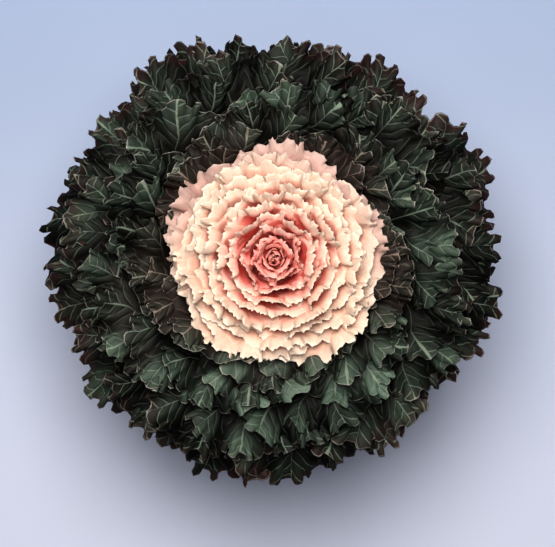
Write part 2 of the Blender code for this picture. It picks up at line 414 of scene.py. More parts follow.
def frilled_place(tree, values):
    """Where each point of the flat pieces goes, and what the finish needs to know about it."""
    across, out, side = split_xyz(read_attribute(tree, "place"))
    off_x, off_y, off_n = split_xyz(read_attribute(tree, "offset"))
    seed = values["Seed"]
    angle = across * values["Fan angle"]
    fore, wide = cosine(angle), sine(angle)
    square = values["Squareness"]
    ahead = most(fore, 0.0) / values["Forward"]
    behind = most(-fore, 0.0) / values["Backward"]
    beside = calc("ABSOLUTE", wide) / values["Sideways"]
    reach = ((ahead + behind) ** square + beside ** square) ** (-1.0 / square)

    wander = noise(tree, join_xyz(tree, angle * 0.8, out * 0.5, seed * 3.7), 1.0)
    uneven = noise(tree, join_xyz(tree, angle * 1.3, seed * 5.1, out * 0.6), 1.0)
    fine = noise(tree, join_xyz(tree, angle * 3.1, out * 1.5, seed * 2.3), 1.0)
    jag = noise(tree, join_xyz(tree, angle * 8.0, seed * 7.7, 0.0), 1.0)

    grown = out ** values["Fold grows"]
    fold = angle * values["Folds"] + wander * 2.0 * least(calc("ABSOLUTE", angle), 1.0)
    ridge = fold_ridge(fold)
    high = values["Fold high"] * grown * (1.0 + 0.8 * uneven)
    crimp_grown = smooth(out, values["Crimp from"], 1.0)
    crimp = angle * values["Crimps"] + fine * 2.2 + seed * 5.0
    crimp_high = values["Crimp high"] * crimp_grown * (0.9 + 0.5 * fine)
    spread = out * wide
    lift = high * ridge + crimp_high * cosine(crimp) + values["Cup"] * spread * spread
    lift = lift + values["Tilt"] * spread * values["Sideways"]
    swing = values["Fold swing"] * grown * sine(fold * 2.0)
    swing = swing + values["Crimp swing"] * crimp_grown * sine(crimp * 2.0)

    column = calc("ROUND", (across + 1.0) * 0.5 * (values["Columns"] - 1.0))
    half_tooth = values["Tooth columns"] * 0.5
    point = calc("ABSOLUTE", calc("FLOORED_MODULO", column, values["Tooth columns"]) - half_tooth) / half_tooth
    tooth = (0.6 - point * point) * values["Tooth deep"] * (1.0 + 0.8 * jag) * smooth(out, 0.93, 1.0)
    lobe = calc("ABSOLUTE", cosine(fold * 0.5)) ** 0.5 - 1.0
    ragged = values["Scallop"] * crimp_grown * cosine(crimp) + values["Ragged"] * jag * smooth(out, 0.80, 1.0)
    run = reach * out * (1.0 + values["Notch"] * grown * lobe + ragged) + tooth

    roll_start = reach * values["Roll from"]
    bend = (reach - roll_start) * BEND_SHARE
    bend_r = bend / values["Roll"]
    over = most(run - roll_start, 0.0)
    bent = least(over, bend) / bend_r
    collar = most(over - bend, 0.0)
    leaf_run = least(run, roll_start) + bend_r * sine(bent) + collar * cosine(bent)
    leaf_lift = -(bend_r * (1.0 - cosine(bent))) - collar * sine(bent)
    lift = lift + off_n
    leaf_run = leaf_run + lift * sine(bent)
    leaf_lift = leaf_lift + lift * cosine(bent)

    x = leaf_run * wide + swing * fore + off_x + values["Lean"] * leaf_run * leaf_run
    y = values["Hub"] + off_y + leaf_run * fore - swing * wide
    about = join_xyz(tree, reach * out * wide, reach * out * fore, crimp_grown * cosine(crimp))
    lobes = join_xyz(tree, fold, reach * out * math.tau / values["Folds"], reach * out)
    return on_bowl(tree, values, x, y, leaf_lift), about, lobes


def on_bowl(tree, values, x, y, lift):
    """Lay a point of the flat leaf on its bowl: y runs along the profile, x round it, and lift stands off it."""
    profile = place_node(
        tree,
        "GeometryNodeCurvePrimitiveBezierSegment",
        Start=values["Bowl start"],
        Start_Handle=values["Bowl start pull"],
        End_Handle=values["Bowl lip pull"],
        End=values["Bowl lip"],
        Resolution=PROFILE_POINTS,
    )
    length = pipe(tree, "GeometryNodeCurveLength", profile.outputs[0])
    inside = least(most(y, 0.0), Field(tree, length))
    sample = tree.nodes.new("GeometryNodeSampleCurve")
    sample.mode = "LENGTH"
    tree.links.new(profile.outputs[0], sample.inputs["Curves"])
    put(tree, sample.inputs["Length"], inside)
    r, _, z = split_xyz(Field(tree, sample.outputs["Position"]))
    go_r, _, go_z = split_xyz(Field(tree, sample.outputs["Tangent"]))
    over = y - inside
    r = r + over * go_r - lift * go_z
    z = z + over * go_z + lift * go_r
    turn = values["Azimuth"] + x / most(r, SMALLEST_TURN_R)
    return join_xyz(tree, r * cosine(turn), r * sine(turn), z)


# %% Put the leaf tree together
def make_leaf_tree():
    tree, values = new_tree("frilled_leaf", LEAF_INPUTS)
    both = tree.nodes.new("GeometryNodeJoinGeometry")
    for mesh in (skin(tree, values, 1.0), skin(tree, values, -1.0), stalk(tree, values)):
        tree.links.new(mesh, both.inputs[0])
    where, about, lobes = frilled_place(tree, values)
    mesh = store(tree, both.outputs[0], "about", about)
    mesh = store(tree, mesh, "lobes", lobes)
    mesh = store(tree, mesh, "tone", values["Tone"], "FLOAT")
    mesh = pipe(tree, "GeometryNodeSetPosition", mesh, Position=where)
    mesh = pipe(tree, "GeometryNodeMergeByDistance", mesh, Distance=MERGE)
    mesh = pipe(tree, "GeometryNodeSetShadeSmooth", mesh)
    finish_tree(tree, mesh, values["Finish"])
    return tree


def finish_tree(tree, geometry, finish):
    """The end that every tree needs: real geometry, a material and the output."""
    real = pipe(tree, "GeometryNodeRealizeInstances", geometry)
    painted = pipe(tree, "GeometryNodeSetMaterial", real, Material=finish)
    tree.links.new(painted, tree.nodes.new("NodeGroupOutput").inputs[0])


leaf_tree = make_leaf_tree()
print("leaf tree", len(leaf_tree.nodes), "nodes")


# %% [markdown]
# ## From a tree to a plain mesh
# A modifier carries the tree on an empty object. Its inputs are set by the identifier of each socket before it is
# first worked out, and the result is copied to a plain mesh, so nothing is left to run when the part is used.

# %% Grow one piece from a tree
def new_object(name, data):
    """An object in the scene that shows this mesh, lamp or camera."""
    thing = bpy.data.objects.new(name, data)
    bpy.context.scene.collection.objects.link(thing)
    return thing


def grow(name, tree, values):
    """Run a tree with these inputs and keep what it makes as a mesh."""
    host = new_object("host", bpy.data.meshes.new("host"))
    modifier = host.modifiers.new("grow", "NODES")
    modifier.node_group = tree
    for item in tree.interface.items_tree:
        if item.in_out == "INPUT" and item.name in values:
            modifier[item.identifier] = values[item.name]
    ready = bpy.context.evaluated_depsgraph_get()
    ready.update()
    grown = host.evaluated_get(ready)
    mesh = bpy.data.meshes.new_from_object(grown, preserve_all_data_layers=True, depsgraph=ready)
    mesh.name = name
    host.modifiers.remove(modifier)
    bpy.data.objects.remove(host, do_unlink=True)
    return mesh


def show(name, mesh, nodes):
    """Make a piece of a mesh, ride it on the body and let it stand for its CAD nodes."""
    piece = new_object(name, mesh)
    if "offset" in mesh.attributes:
        mesh.attributes.remove(mesh.attributes["offset"])
    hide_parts(*nodes)
    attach(piece, "root")
    return piece


# %% [markdown]
# ## Finishes
# Leaf colour follows the leaf's own shape, painted light and shade on the folds included, so the materials read
# what the tree stored: how far a point is from the hub, its place on the flat leaf, and the leaf's number. Pale
# veins fork on their way to the edge, and the skin bulges between them, which is what makes kale look quilted.

# %% Helpers for materials
def new_material(name):
    """A material with a clean Principled shader."""
    material = bpy.data.materials.new(name)
    material.use_nodes = True
    tree = material.node_tree
    return material, tree, tree.nodes["Principled BSDF"]


def attribute_field(tree, name, output="Vector"):
    node = tree.nodes.new("ShaderNodeAttribute")
    node.attribute_name = name
    return Field(tree, node.outputs[output])


def object_place(tree):
    return Field(tree, tree.nodes.new("ShaderNodeTexCoord").outputs["Object"])


def blend(tree, amount, first, second):
    """Mix two colours; each is a field or a plain (r, g, b)."""
    node = tree.nodes.new("ShaderNodeMix")
    node.data_type = "RGBA"
    sockets = [s for s in node.inputs if s.type == "RGBA"]
    put(tree, node.inputs[0], amount)
    for socket, colour in zip(sockets, (first, second)):
        put(tree, socket, colour if isinstance(colour, Field) else (*colour, 1.0))
    return Field(tree, next(o for o in node.outputs if o.type == "RGBA"))


def add_bump(tree, shader, height, distance):
    node = place_node(tree, "ShaderNodeBump", Distance=distance, Height=height)
    tree.links.new(node.outputs[0], shader.inputs["Normal"])


def dice(tree, vector):
    """A random number from 0 to 1 that is the same wherever the vector is the same."""
    node = place_node(tree, "ShaderNodeTexWhiteNoise", Vector=vector)
    return Field(tree, node.outputs["Value"])


def cells(tree, vector, scale):
    """Distance to the nearest wall between cells, about 0 on a wall and 0.5 in the middle of a cell."""
    node = tree.nodes.new("ShaderNodeTexVoronoi")
    node.feature = "DISTANCE_TO_EDGE"
    set_inputs(tree, node, Vector=vector, Scale=scale)
    return Field(tree, node.outputs["Distance"])


# %% Forked veins and quilting
BRANCH_SLOPE = 0.75
BRANCH_APART = 0.0085


def vein_fields(tree):
    """How much of a point is vein and how much it bulges, with the leaf's own places for the colours."""
    _, out, side = split_xyz(attribute_field(tree, "place"))
    flat_x, flat_y, crimp = split_xyz(attribute_field(tree, "about"))
    tone = attribute_field(tree, "tone", "Fac")
    about = join_xyz(tree, flat_x, flat_y, tone)
    fold, lobe_wide, run = split_xyz(attribute_field(tree, "lobes"))
    ridge = fold_ridge(fold)
    sway = noise(tree, about, 60.0)
    off = (calc("FRACT", fold / math.tau + 0.5) - 0.5) * lobe_wide + sway * 0.0008
    away = calc("ABSOLUTE", off)
    turn = calc("ABSOLUTE", calc("FRACT", fold / (3 * math.tau) + 0.5) - 0.5) * (3 * math.tau)
    forked = calc("ABSOLUTE", turn - math.tau * smooth(out, 0.08, 0.62))
    scale = lobe_wide / math.tau
    thin = 0.0007 - 0.0003 * out
    main = 1.0 - smooth(turn * scale + sway * 0.0004, 0.0001, thin)
    fork = (1.0 - smooth(forked * scale + sway * 0.0004, 0.0001, thin)) * smooth(out, 0.12, 0.2)
    first_branch = run - away / BRANCH_SLOPE + sway * 0.0015
    step = first_branch / BRANCH_APART + 0.5 * calc("GREATER_THAN", off, 0.0)
    gap = calc("ABSOLUTE", calc("FRACT", step) - 0.5) * BRANCH_APART * 0.6
    branch = (1.0 - smooth(gap, 0.0001, 0.0004)) * smooth(out, 0.50, 0.62)
    stalk_too = 1.0 - smooth(calc("ABSOLUTE", side), 0.1, 0.6)
    vein = most(most(most(main, fork), stalk_too), branch * 0.6)
    net = cells(tree, about, 330.0)
    bulge = smooth(gap, 0.0, 0.0022) * smooth(out, 0.45, 0.65) + 0.15 * smooth(net, 0.0, 0.35)
    lobe_luck = dice(tree, join_xyz(tree, calc("ROUND", fold / math.tau), tone, 0.0))
    return vein, bulge, out, ridge, crimp, tone, lobe_luck


# %% The finish of the head
def head_finish():
    """Cream at the rolled edge, salmon and rose in the depths, painted shade as deeper colour in the fold and crimp
    valleys, and painted shade in dull mauve on the last leaves at the back.
    """
    material, tree, shader = new_material("head_leaf")
    vein, bulge, out, ridge, crimp, tone, _ = vein_fields(tree)
    patch = noise(tree, attribute_field(tree, "about"), 55.0)
    age = smooth(tone, 0.03, 0.34)
    deep = blend(tree, age, (0.95, 0.28, 0.26), (0.94, 0.44, 0.34))
    middle = blend(tree, age, (0.88, 0.40, 0.36), (0.78, 0.49, 0.39))
    pale = blend(tree, smooth(tone, 0.0, 0.14), (0.86, 0.44, 0.40), (0.72, 0.55, 0.45))
    # painted shade: the ridge and crimp terms pull the fold and crimp valleys towards the deeper colours
    edge = out + 0.04 * patch + 0.03 * ridge + 0.05 * crimp
    turn = 0.91 - 0.10 * age
    colour = blend(tree, smooth(edge, turn - 0.45, turn - 0.12), deep, middle)
    colour = blend(tree, smooth(edge, turn - 0.10, turn + 0.10), colour, pale)
    colour = blend(tree, vein * 0.30, colour, (0.95, 0.82, 0.68))
    rim = smooth(out + 0.01 * patch, 0.93, 0.985) * smooth(tone, 0.0, 0.12)
    colour = blend(tree, rim * 0.6, colour, (0.83, 0.74, 0.64))
    _, back, _ = split_xyz(object_place(tree))
    # painted shade: the outermost head leaves at the back are painted dull mauve where they lie in shade
    painted_back_shade = smooth(tone, 0.35, 0.41) * smooth(back + 0.02 * patch, -0.05, 0.03)
    colour = blend(tree, painted_back_shade * 0.75, colour, (0.50, 0.33, 0.31))
    set_inputs(tree, shader, Base_Color=colour, Roughness=0.5, Specular_IOR_Level=0.3)
    glow = (0.003, 0.0018, 0.0014)
    set_inputs(tree, shader, Subsurface_Weight=0.12, Subsurface_Radius=glow, Subsurface_Scale=1.0)
    add_bump(tree, shader, bulge * 0.5 + vein * 0.3, 0.0004)
    return material


# %% The finish of the green leaves
def green_finish():
    """Dark blue-green with pale veins, a pale rim that is partly its own margin and partly painted highlight,
    painted shade nearly black in the folds, maroon at some edges, and painted light on the leaves at the front.
    """
    material, tree, shader = new_material("green_leaf")
    vein, bulge, out, ridge, _, tone, luck = vein_fields(tree)
    place = object_place(tree)
    _, back, _ = split_xyz(place)
    patch = noise(tree, place, 22.0)
    # painted light and shade: lit is a painted light mask on the fold ridges towards the edge, the valleys get a
    # near-black painted shade, and the veins show more where the painted light is
    lit = smooth(ridge + 0.5 * patch, -1.7, 0.8) * smooth(out + 0.08 * patch, 0.48, 0.97)
    shade = blend(tree, 0.5 + 0.3 * patch, (0.002, 0.002, 0.0015), (0.004, 0.0045, 0.0035))
    face = blend(tree, luck * luck * 0.85 + 0.08 + 0.18 * patch, (0.008, 0.010, 0.008), (0.100, 0.141, 0.111))
    face = blend(tree, smooth(tone, 0.65, 1.0) * 0.4, face, (0.006, 0.006, 0.005))
    # painted light: the inner green leaves at the front are painted lighter, where the light falls on them
    front = (1.0 - smooth(back + 0.01 * patch, -0.085, -0.035)) * (1.0 - smooth(tone, 0.60, 0.80))
    face = blend(tree, front * (0.15 + 0.55 * luck), face, (0.175, 0.245, 0.195))
    base = blend(tree, lit, shade, face)
    dusk = smooth(noise(tree, place, 15.0), 0.1, 0.9)
    base = blend(tree, dusk * 0.6, base, (0.034, 0.029, 0.026))
    young = (1.0 - smooth(tone, 0.45, 0.60)) * (1.0 - 0.6 * front)
    base = blend(tree, young * 0.55, base, (0.050, 0.032, 0.028))
    maroon = smooth(out + 0.14 * patch, 0.80, 1.02) * smooth(tone, 0.60, 0.95)
    base = blend(tree, maroon * 0.7, base, (0.055, 0.018, 0.021))
    vein_colour = blend(tree, young, (0.24, 0.30, 0.24), (0.30, 0.22, 0.20))
    colour = blend(tree, vein * (0.22 + 0.6 * lit), base, vein_colour)
    # the pale rim is partly the leaf's own pale margin and partly a painted highlight along the edge
    rim = smooth(out, 0.978, 0.995) * smooth(patch, -0.8, 0.4)
    colour = blend(tree, rim * 0.9, colour, (0.58, 0.53, 0.48))
    set_inputs(tree, shader, Base_Color=colour, Roughness=0.58, Specular_IOR_Level=0.18)
    add_bump(tree, shader, bulge * 0.8 - vein * 0.3, 0.0005)
    return material


head_material = head_finish()
green_material = green_finish()
print("leaf finishes", head_material.name, green_material.name)

# %% [markdown]
# ## The leaves
# Sizes and frills change along the spiral: the inner leaves are small, steep and rolled outward at the edge, the
# outer ones are broad fans. Each leaf also gets its own seed and a slight tilt and turn of its own, because no two
# leaves of a real plant fold alike. The photograph shows more leaves than the CAD part has, so all pieces but the
# last six hold two leaves, the second half a step further along the spiral.

# %% Sizes and frills along the spiral
# leaf: hub, forward and backward as shares of the bowl's length, half width in mm, squareness
FANS = (
    (1, 0.50, 0.56, 0.30, 13, 2.6),
    (6, 0.51, 0.56, 0.30, 26, 2.6),
    (12, 0.52, 0.56, 0.28, 38, 2.6),
    (18, 0.54, 0.52, 0.26, 45, 2.8),
    (24, 0.55, 0.47, 0.26, 48, 3.0),
    (26, 0.58, 0.43, 0.26, 46, 2.5),
    (40, 0.60, 0.41, 0.24, 52, 2.7),
    (56, 0.60, 0.38, 0.22, 58, 2.8),
)
# leaf: roll start, roll in degrees, cup mm, folds, fold mm, swing mm, growth, crimps, crimp mm, swing mm, start
FRILLS = (
    (1, 0.76, 45, 0, 5.0, 1.8, 1.1, 2.0, 15, 0.8, 0.6, 0.76),
    (6, 0.76, 50, 0, 5.5, 3.0, 1.5, 2.0, 19, 1.0, 0.6, 0.78),
    (12, 0.76, 46, 0, 5.5, 4.0, 1.6, 2.0, 21, 1.2, 0.6, 0.78),
    (24, 0.76, 25, 2, 6.0, 4.8, 1.6, 2.2, 23, 1.4, 0.7, 0.78),
    (27, 0.60, 20, 3, 8.5, 5.0, 1.8, 3.2, 29, 2.5, 1.0, 0.68),
    (40, 0.60, 10, 4, 9.5, 4.6, 1.9, 3.2, 34, 2.8, 1.2, 0.68),
    (56, 0.60, 6, 4, 9.5, 4.2, 1.9, 3.2, 34, 2.8, 1.2, 0.68),
)
# how the edge is cut
HEAD_EDGE = {"Notch": 0.07, "Ragged": 0.025, "Scallop": 0.045, "Tooth deep": 0.0012, "Tooth columns": 2.0}
GREEN_EDGE = {"Notch": 0.05, "Ragged": 0.015, "Scallop": 0.035, "Tooth deep": 0.0020, "Tooth columns": 5.0}
FAN_HALF_ANGLE = math.radians(152)
BLADE_THICK = 0.0009
STALK_WIDE = 0.0045
STALK_THICK = 0.0022


def leaf_values(leaf, columns, rows, finish, spread):
    """All the inputs of one leaf; a half number lies between two leaves of the spiral."""
    start, start_pull, lip_pull, lip = bowl_points(leaf)
    length = bowl_length((start, start_pull, lip_pull, lip))
    is_green = leaf >= HEAD_LEAVES + 1
    twist = 0.2 if is_green else 0.06
    hub, forward, backward, sideways, square = read_table(FANS, leaf)
    roll_from, roll, cup, folds, high, swing, grows, crimps, crimp_high, crimp_swing, crimp_from = read_table(
        FRILLS, leaf
    )
    return {
        "Columns": columns,
        "Rows": rows,
        "Bowl start": start,
        "Bowl start pull": start_pull,
        "Bowl lip pull": lip_pull,
        "Bowl lip": lip,
        "Azimuth": FIRST_AZIMUTH + leaf * TURN + math.radians(spread.uniform(-5.0, 5.0)),
        "Hub": hub * length,
        "Forward": forward * length * spread.uniform(0.92, 1.04),
        "Sideways": sideways / 1000 * spread.uniform(0.94, 1.06),
        "Backward": backward * length,
        "Squareness": square,
        "Fan angle": FAN_HALF_ANGLE,
        "Roll from": roll_from,
        "Roll": math.radians(roll * spread.uniform(0.6, 1.3)),
        "Cup": cup / 1000,
        "Tilt": spread.uniform(-twist, twist),
        "Lean": spread.uniform(-2.0, 2.0) if is_green else 0.0,
        "Folds": folds * spread.uniform(0.92, 1.08),
        "Fold high": high / 1000 * spread.uniform(0.85, 1.15),
        "Fold swing": swing / 1000,
        "Fold grows": grows,
        "Crimps": crimps * spread.uniform(0.92, 1.08),
        "Crimp high": crimp_high / 1000,
        "Crimp swing": crimp_swing / 1000,
        "Crimp from": crimp_from,
        **(GREEN_EDGE if is_green else HEAD_EDGE),
        "Thick": BLADE_THICK,
        "Stalk wide": STALK_WIDE,
        "Stalk thick": STALK_THICK,
        "Seed": spread.uniform(0.0, 10.0),
        "Tone": leaf / LEAF_COUNT,
        "Finish": finish,
    }


# %% Grow the head and the green leaves
LAST_ROSE, LAST_SALMON, LAST_CREAM, LAST_MAUVE = 6, 13, HEAD_LEAVES, HEAD_LEAVES + 7
LAST_PAIR = 50
LEAF_ROWS = 14
SMALL_COLUMNS, HEAD_COLUMNS, GREEN_COLUMNS = 109, 145, 181
SECOND_SEEDS = 200


def shrink_map(mesh, number, count):
    """Move a mesh's bake map into its own cell, so that the maps of joined meshes lie side by side."""
    if "OFBake" not in mesh.uv_layers:
        return
    side = math.ceil(math.sqrt(count))
    layer = mesh.uv_layers["OFBake"].data
    places = np.empty(2 * len(layer), dtype=np.float32)
    layer.foreach_get("uv", places)
    places = places.reshape(-1, 2)
    places[:, 0] = (places[:, 0] + number % side) / side
    places[:, 1] = (places[:, 1] + number // side) / side
    layer.foreach_set("uv", places.ravel())


def join_meshes(name, meshes):
    """One mesh of several, with their attributes and maps."""
    parts = []
    for number, mesh in enumerate(meshes):
        shrink_map(mesh, number, len(meshes))
        parts.append(new_object("part", mesh))
    with bpy.context.temp_override(
        active_object=parts[0], selected_editable_objects=parts, selected_objects=parts
    ):
        bpy.ops.object.join()
    whole = parts[0].data
    whole.name = name
    bpy.data.objects.remove(parts[0], do_unlink=True)
    return whole


triangles = 0
for leaf in range(1, LEAF_COUNT + 1):
    in_head = leaf <= HEAD_LEAVES
    head_columns = SMALL_COLUMNS if leaf <= LAST_ROSE else HEAD_COLUMNS
    columns = head_columns if in_head else GREEN_COLUMNS
    finish = head_material if in_head else green_material
    values = leaf_values(leaf, columns, LEAF_ROWS, finish, random.Random(leaf))
    name = f"head_leaf_{leaf:02d}" if in_head else f"green_leaf_{leaf - HEAD_LEAVES:02d}"
    mesh = grow("frilled_" + name, leaf_tree, values)
    if leaf <= LAST_PAIR:
        second = leaf_values(leaf + 0.5, columns, LEAF_ROWS, finish, random.Random(SECOND_SEEDS + leaf))
        mesh = join_meshes("frilled_" + name, [mesh, grow("second", leaf_tree, second)])
    show("frilled_" + name, mesh, [name])
    triangles += sum(len(p.vertices) - 2 for p in mesh.polygons)
print("leaves", LEAF_COUNT, "triangles", triangles)

# %% [markdown]
# ## The heart
# The youngest leaves stand in a tight roll inside the first ring of the head. They come from the same tree, on very
# narrow bowls, and are joined into one piece.

# %% Grow the heart
HEART_LEAVES = 16
HEART_COLUMNS, HEART_ROWS = 73, 12
HEART_SEEDS = 100


def heart_values(number, spread):
    """Inputs of one of the heart's own small leaves; number 0 is the innermost."""
    t = number / (HEART_LEAVES - 1)
    values = leaf_values(1, HEART_COLUMNS, HEART_ROWS, head_material, spread)
    base = SOIL_TOP + STEM_TALL
    r0, r1 = lerp(0.0006, 0.0070, t), lerp(0.0012, 0.0112, t)
    top = base + lerp(0.037, 0.043, t ** 0.5)
    return values | {
        "Bowl start": Vector((r0, 0, base - 0.001)),
        "Bowl start pull": Vector((r0 + 0.001, 0, base + 0.012)),
        "Bowl lip pull": Vector((r1 + 0.001, 0, top - 0.012)),
        "Bowl lip": Vector((r1, 0, top)),
        "Azimuth": FIRST_AZIMUTH - number * TURN,
        "Folds": lerp(2.5, 5.5, t),
        "Fold high": lerp(0.0006, 0.0018, t),
        "Fold swing": lerp(0.0003, 0.0011, t),
        "Hub": 0.020,
        "Forward": 0.021,
        "Backward": 0.012,
        "Sideways": lerp(0.0045, 0.0145, t),
        "Roll": math.radians(lerp(-60, 80, t)),
        "Roll from": 0.78,
        "Stalk wide": 0.002,
        "Stalk thick": 0.0012,
        "Tone": 0.01,
    }


heart_meshes = [
    grow(f"heart_{number}", leaf_tree, heart_values(number, random.Random(HEART_SEEDS + number)))
    for number in range(HEART_LEAVES)
]
heart = show("rolled_heart", join_meshes("rolled_heart", heart_meshes), ["heart_bud"])
print("heart", len(heart.data.polygons), "faces")


# %% [markdown]
# ## The clay pot
# The pot is thrown clay: one profile turned about its axis, with a thick rolled rim. The turned wall is cut by four
# drain holes. Terracotta is never one colour, so the finish has blotches, a pale lime bloom and fine grit.

# %% The terracotta finish
def clay_finish():
    material, tree, shader = new_material("terracotta")
    place = object_place(tree)
    _, _, height = split_xyz(place)
    blotch = noise(tree, place, 9.0, 4.0)
    grit = noise(tree, place, 900.0, 3.0, 0.7)
    rings = noise(tree, join_xyz(tree, 0.0, 0.0, height), 420.0, 2.0)
    bloom = smooth(noise(tree, place, 16.0, 6.0, 0.65) + 0.6 * blotch, 0.35, 1.5)
    colour = blend(tree, 0.5 + 0.3 * blotch, (0.36, 0.130, 0.060), (0.52, 0.215, 0.110))
    colour = blend(tree, 0.5 + 0.5 * grit, colour, (0.46, 0.19, 0.105))
    colour = blend(tree, bloom * 0.5, colour, (0.62, 0.47, 0.38))
    # darker towards the bottom of the pot
    darker_foot = 1.0 - smooth(height + 0.004 * blotch, 0.004, 0.030)
    colour = blend(tree, darker_foot * 0.35, colour, (0.20, 0.085, 0.045))
    set_inputs(tree, shader, Base_Color=colour, Roughness=0.82 + 0.06 * blotch, Specular_IOR_Level=0.25)
    add_bump(tree, shader, grit * 0.35 + rings * 0.5 + bloom * 0.3, 0.0004)
    return material


clay = clay_finish()

# %% Turn the pot
POT_SIDES = 96
DRAIN_SIDES = 32


def round_corner(before, corner, after, radius, steps=3):
    """Points of a small arc that replaces a corner of a profile."""
    a, b, c = Vector(before), Vector(corner), Vector(after)
    start = b + (a - b).normalized() * radius
    end = b + (c - b).normalized() * radius
    points = []
    for k in range(steps + 1):
        t = k / steps
        points.append(start * (1 - t) ** 2 + b * (2 * t * (1 - t)) + end * t * t)
    return points


def pot_outline():
    """From the middle of the underside, up the outside, over the rim and down to the middle of the floor."""
    rim_low = POT_HEIGHT - POT_RIM_TALL
    inner_top = POT_RIM_R - POT_WALL - 0.0015
    inner_low = POT_BASE_R + 0.0013 - POT_WALL
    corners = [
        (POT_BASE_R, 0.0, 0.0018),
        (POT_NECK_R, rim_low, 0.0012),
        (POT_RIM_R - 0.0018, rim_low + 0.0004, 0.0018),
        (POT_RIM_R, POT_HEIGHT - 0.0004, 0.0024),
        (inner_top, POT_HEIGHT, 0.0024),
        (inner_low, POT_FLOOR, 0.0060),
    ]
    flat = [(0.0, 0.0)] + [c[:2] for c in corners] + [(0.0, POT_FLOOR)]
    points = [Vector(flat[0])]
    for k, (_, _, radius) in enumerate(corners, 1):
        points += round_corner(flat[k - 1], flat[k], flat[k + 1], radius)
    points.append(Vector(flat[-1]))
    return points


def turned(name, outline, sides, material):
    """Spin an outline of (radius, height) about Z into a closed, smooth mesh."""
    work = bmesh.new()
    verts = [work.verts.new((p[0], 0.0, p[1])) for p in outline]
    edges = [work.edges.new(pair) for pair in zip(verts, verts[1:])]
    bmesh.ops.spin(
        work, geom=verts + edges, cent=(0, 0, 0), axis=(0, 0, 1), dvec=(0, 0, 0), angle=math.tau, steps=sides
    )
    bmesh.ops.remove_doubles(work, verts=work.verts, dist=1e-6)
    bmesh.ops.recalc_face_normals(work, faces=work.faces)
    mesh = bpy.data.meshes.new(name)
    work.to_mesh(mesh)
    work.free()
    mesh.polygons.foreach_set("use_smooth", [True] * len(mesh.polygons))
    mesh.materials.append(material)
    return mesh


def cut_drains(mesh):
    """Cut the drain holes with round posts."""
    body = new_object("body", mesh)
    posts = []
    for number in range(DRAIN_HOLES):
        a = math.tau * (number + 0.5) / DRAIN_HOLES
        work = bmesh.new()
        bmesh.ops.create_cone(
            work, cap_ends=True, segments=DRAIN_SIDES, radius1=DRAIN_R, radius2=DRAIN_R, depth=3 * POT_FLOOR
        )
        shift = (DRAIN_RING_R * math.cos(a), DRAIN_RING_R * math.sin(a), 0.5 * POT_FLOOR)
        bmesh.ops.translate(work, vec=shift, verts=work.verts)
        post_mesh = bpy.data.meshes.new("post")
        work.to_mesh(post_mesh)
        work.free()
        post = new_object("post", post_mesh)
        posts.append(post)
        cut = body.modifiers.new("drain", "BOOLEAN")
        cut.operation = "DIFFERENCE"
        cut.object = post
    ready = bpy.context.evaluated_depsgraph_get()
    ready.update()
    result = bpy.data.meshes.new_from_object(body.evaluated_get(ready), depsgraph=ready)
    for thing in (*posts, body):
        bpy.data.objects.remove(thing, do_unlink=True)
    return result


def crease_by_angle(mesh, degrees=40):
    """Keep sharp what is sharp: mark the edges where faces turn by more than this."""
    work = bmesh.new()
    work.from_mesh(mesh)
    for edge in work.edges:
        edge.smooth = len(edge.link_faces) == 2 and edge.calc_face_angle(0.0) < math.radians(degrees)
    work.to_mesh(mesh)
    work.free()


pot_mesh = cut_drains(turned("turned_pot", pot_outline(), POT_SIDES, clay))
crease_by_angle(pot_mesh)
pot = show("turned_pot", pot_mesh, ["pot"])
print("pot", len(pot_mesh.polygons), "faces")


# %% [markdown]
# ## Soil and stem
# Potting soil is dark peat with crumbs. The bed is a turned disc with a little unevenness, and a Geometry Nodes
# tree scatters crumbs over it, because hundreds of small lumps are a job for points and not for hands. The stem is
# a woody cabbage stalk with the scars of fallen leaves.

# %% Soil and stem finishes
def soil_finish():
    material, tree, shader = new_material("peat")
    place = object_place(tree)
    lump = noise(tree, place, 120.0, 4.0, 0.65)
    colour = blend(tree, 0.5 + 0.4 * lump, (0.012, 0.008, 0.006), (0.060, 0.038, 0.024))
    fleck = smooth(noise(tree, place, 700.0, 2.0), 0.95, 1.3)
    colour = blend(tree, fleck * 0.5, colour, (0.20, 0.15, 0.10))
    set_inputs(tree, shader, Base_Color=colour, Roughness=0.95, Specular_IOR_Level=0.2)
    add_bump(tree, shader, lump, 0.0012)
    return material


def stem_finish():
    material, tree, shader = new_material("woody_stem")
    place = object_place(tree)
    x, y, height = split_xyz(place)
    grain = noise(tree, join_xyz(tree, x * 6.0, y * 6.0, height), 90.0, 3.0)
    woody = 1.0 - smooth(height + 0.006 * grain, SOIL_TOP + 0.02, SOIL_TOP + 0.08)
    colour = blend(tree, woody, (0.36, 0.38, 0.24), (0.24, 0.19, 0.13))
    colour = blend(tree, 0.5 + 0.35 * grain, colour, (0.42, 0.38, 0.28))
    scar = 1.0 - smooth(cells(tree, join_xyz(tree, x * 2.0, y * 2.0, height * 2.6), 45.0), 0.03, 0.12)
    colour = blend(tree, scar * 0.5, colour, (0.14, 0.10, 0.07))
    set_inputs(tree, shader, Base_Color=colour, Roughness=0.7)
    add_bump(tree, shader, grain * 0.5 - scar, 0.0008)
    return material


peat = soil_finish()
stem_wood = stem_finish()

# %% The soil bed with its crumbs
CRUMB_INPUTS = (
    ("Bed radius", FLOAT, 0.070),
    ("Crumbs per m2", FLOAT, 26000.0),
    ("Crumb size", FLOAT, 0.0016),
    ("Top", FLOAT, SOIL_TOP),
    ("Seed", WHOLE, 4),
    ("Finish", MATERIAL, None),
)


def random_between(tree, low, high, seed):
    """A random vector for each crumb."""
    node = tree.nodes.new("FunctionNodeRandomValue")
    node.data_type = "FLOAT_VECTOR"
    wanted = [s for s in node.inputs if s.name in ("Min", "Max") and s.enabled]
    wanted[0].default_value = low
    wanted[1].default_value = high
    node.inputs["Seed"].default_value = seed
    return Field(tree, next(o for o in node.outputs if o.enabled))


